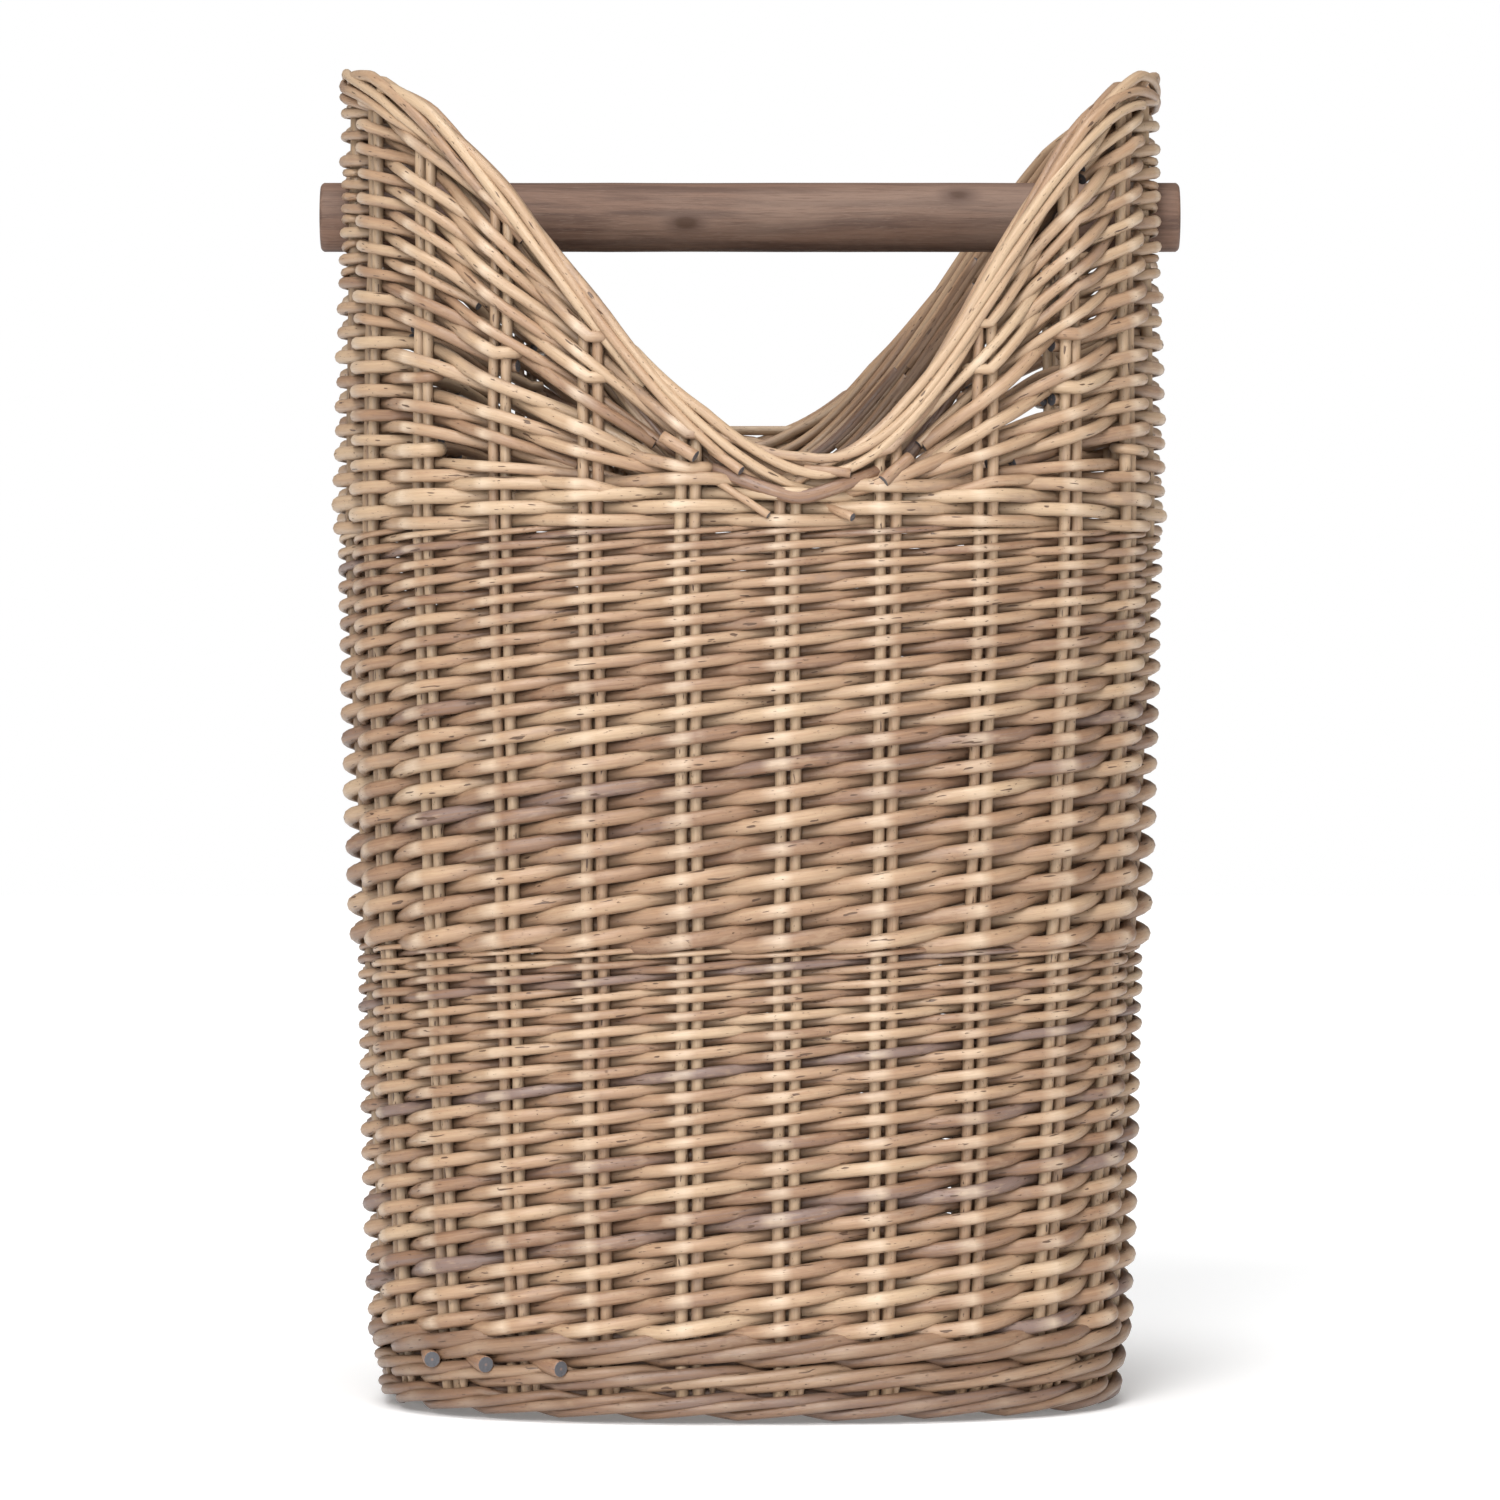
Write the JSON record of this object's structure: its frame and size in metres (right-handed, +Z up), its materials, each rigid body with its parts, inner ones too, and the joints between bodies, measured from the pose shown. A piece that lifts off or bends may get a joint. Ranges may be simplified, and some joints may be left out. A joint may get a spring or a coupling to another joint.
{
  "type": "wicker log basket",
  "caption": "Tall oval woven willow basket for firewood, with two raised ends and a round wooden pole handle through them.",
  "frame": {"origin": "middle of the foot, on the floor", "axes": "+Z up, +X along the pole handle, -Y towards the deeper of the two notches in the rim (the front)"},
  "size_m": [0.4458, 0.334, 0.689],
  "materials": {
    "willow": "satin buff willow",
    "pale_willow": "satin pale willow",
    "brown_willow": "satin brown willow",
    "pole": "dull stained hardwood"
  },
  "bodies": {
    "basket": {"foot_wale_lower": "willow", "lower_band": "willow", "middle_band": "willow", "upper_band": "willow", "ear_weave_left": "willow", "ear_weave_right": "willow", "rim_border": "willow", "base_weave": "willow", "foot_border": "brown_willow", "foot_wale_upper": "brown_willow", "base_stick_long_1": "brown_willow", "base_stick_long_2": "brown_willow", "base_stick_long_3": "brown_willow", "base_stick_short_1": "brown_willow", "base_stick_short_2": "brown_willow", "base_stick_short_3": "brown_willow", "base_stick_short_4": "brown_willow", "base_stick_short_5": "brown_willow", "base_stick_short_6": "brown_willow", "base_stick_short_7": "brown_willow", "stake_pair_01": "pale_willow", "stake_pair_02": "pale_willow", "stake_pair_03": "pale_willow", "stake_pair_04": "pale_willow", "stake_pair_05": "pale_willow", "stake_pair_06": "pale_willow", "stake_pair_07": "pale_willow", "stake_pair_08": "pale_willow", "stake_pair_09": "pale_willow", "stake_pair_10": "pale_willow", "stake_pair_11": "pale_willow", "stake_pair_12": "pale_willow", "stake_pair_13": "pale_willow", "stake_pair_14": "pale_willow", "stake_pair_15": "pale_willow", "stake_pair_16": "pale_willow", "stake_pair_17": "pale_willow", "stake_pair_18": "pale_willow", "stake_pair_19": "pale_willow", "stake_pair_20": "pale_willow", "stake_pair_21": "pale_willow", "stake_pair_22": "pale_willow", "stake_pair_23": "pale_willow", "stake_pair_24": "pale_willow"},
    "pole": {"pole_handle": "pole"}
  },
  "joints": [
    {"name": "pole_turn", "type": "hinge", "parent": "basket", "child": "pole", "pos_m": [0, 0, 0.614], "axis": [1, 0, 0], "continuous": true}
  ]
}
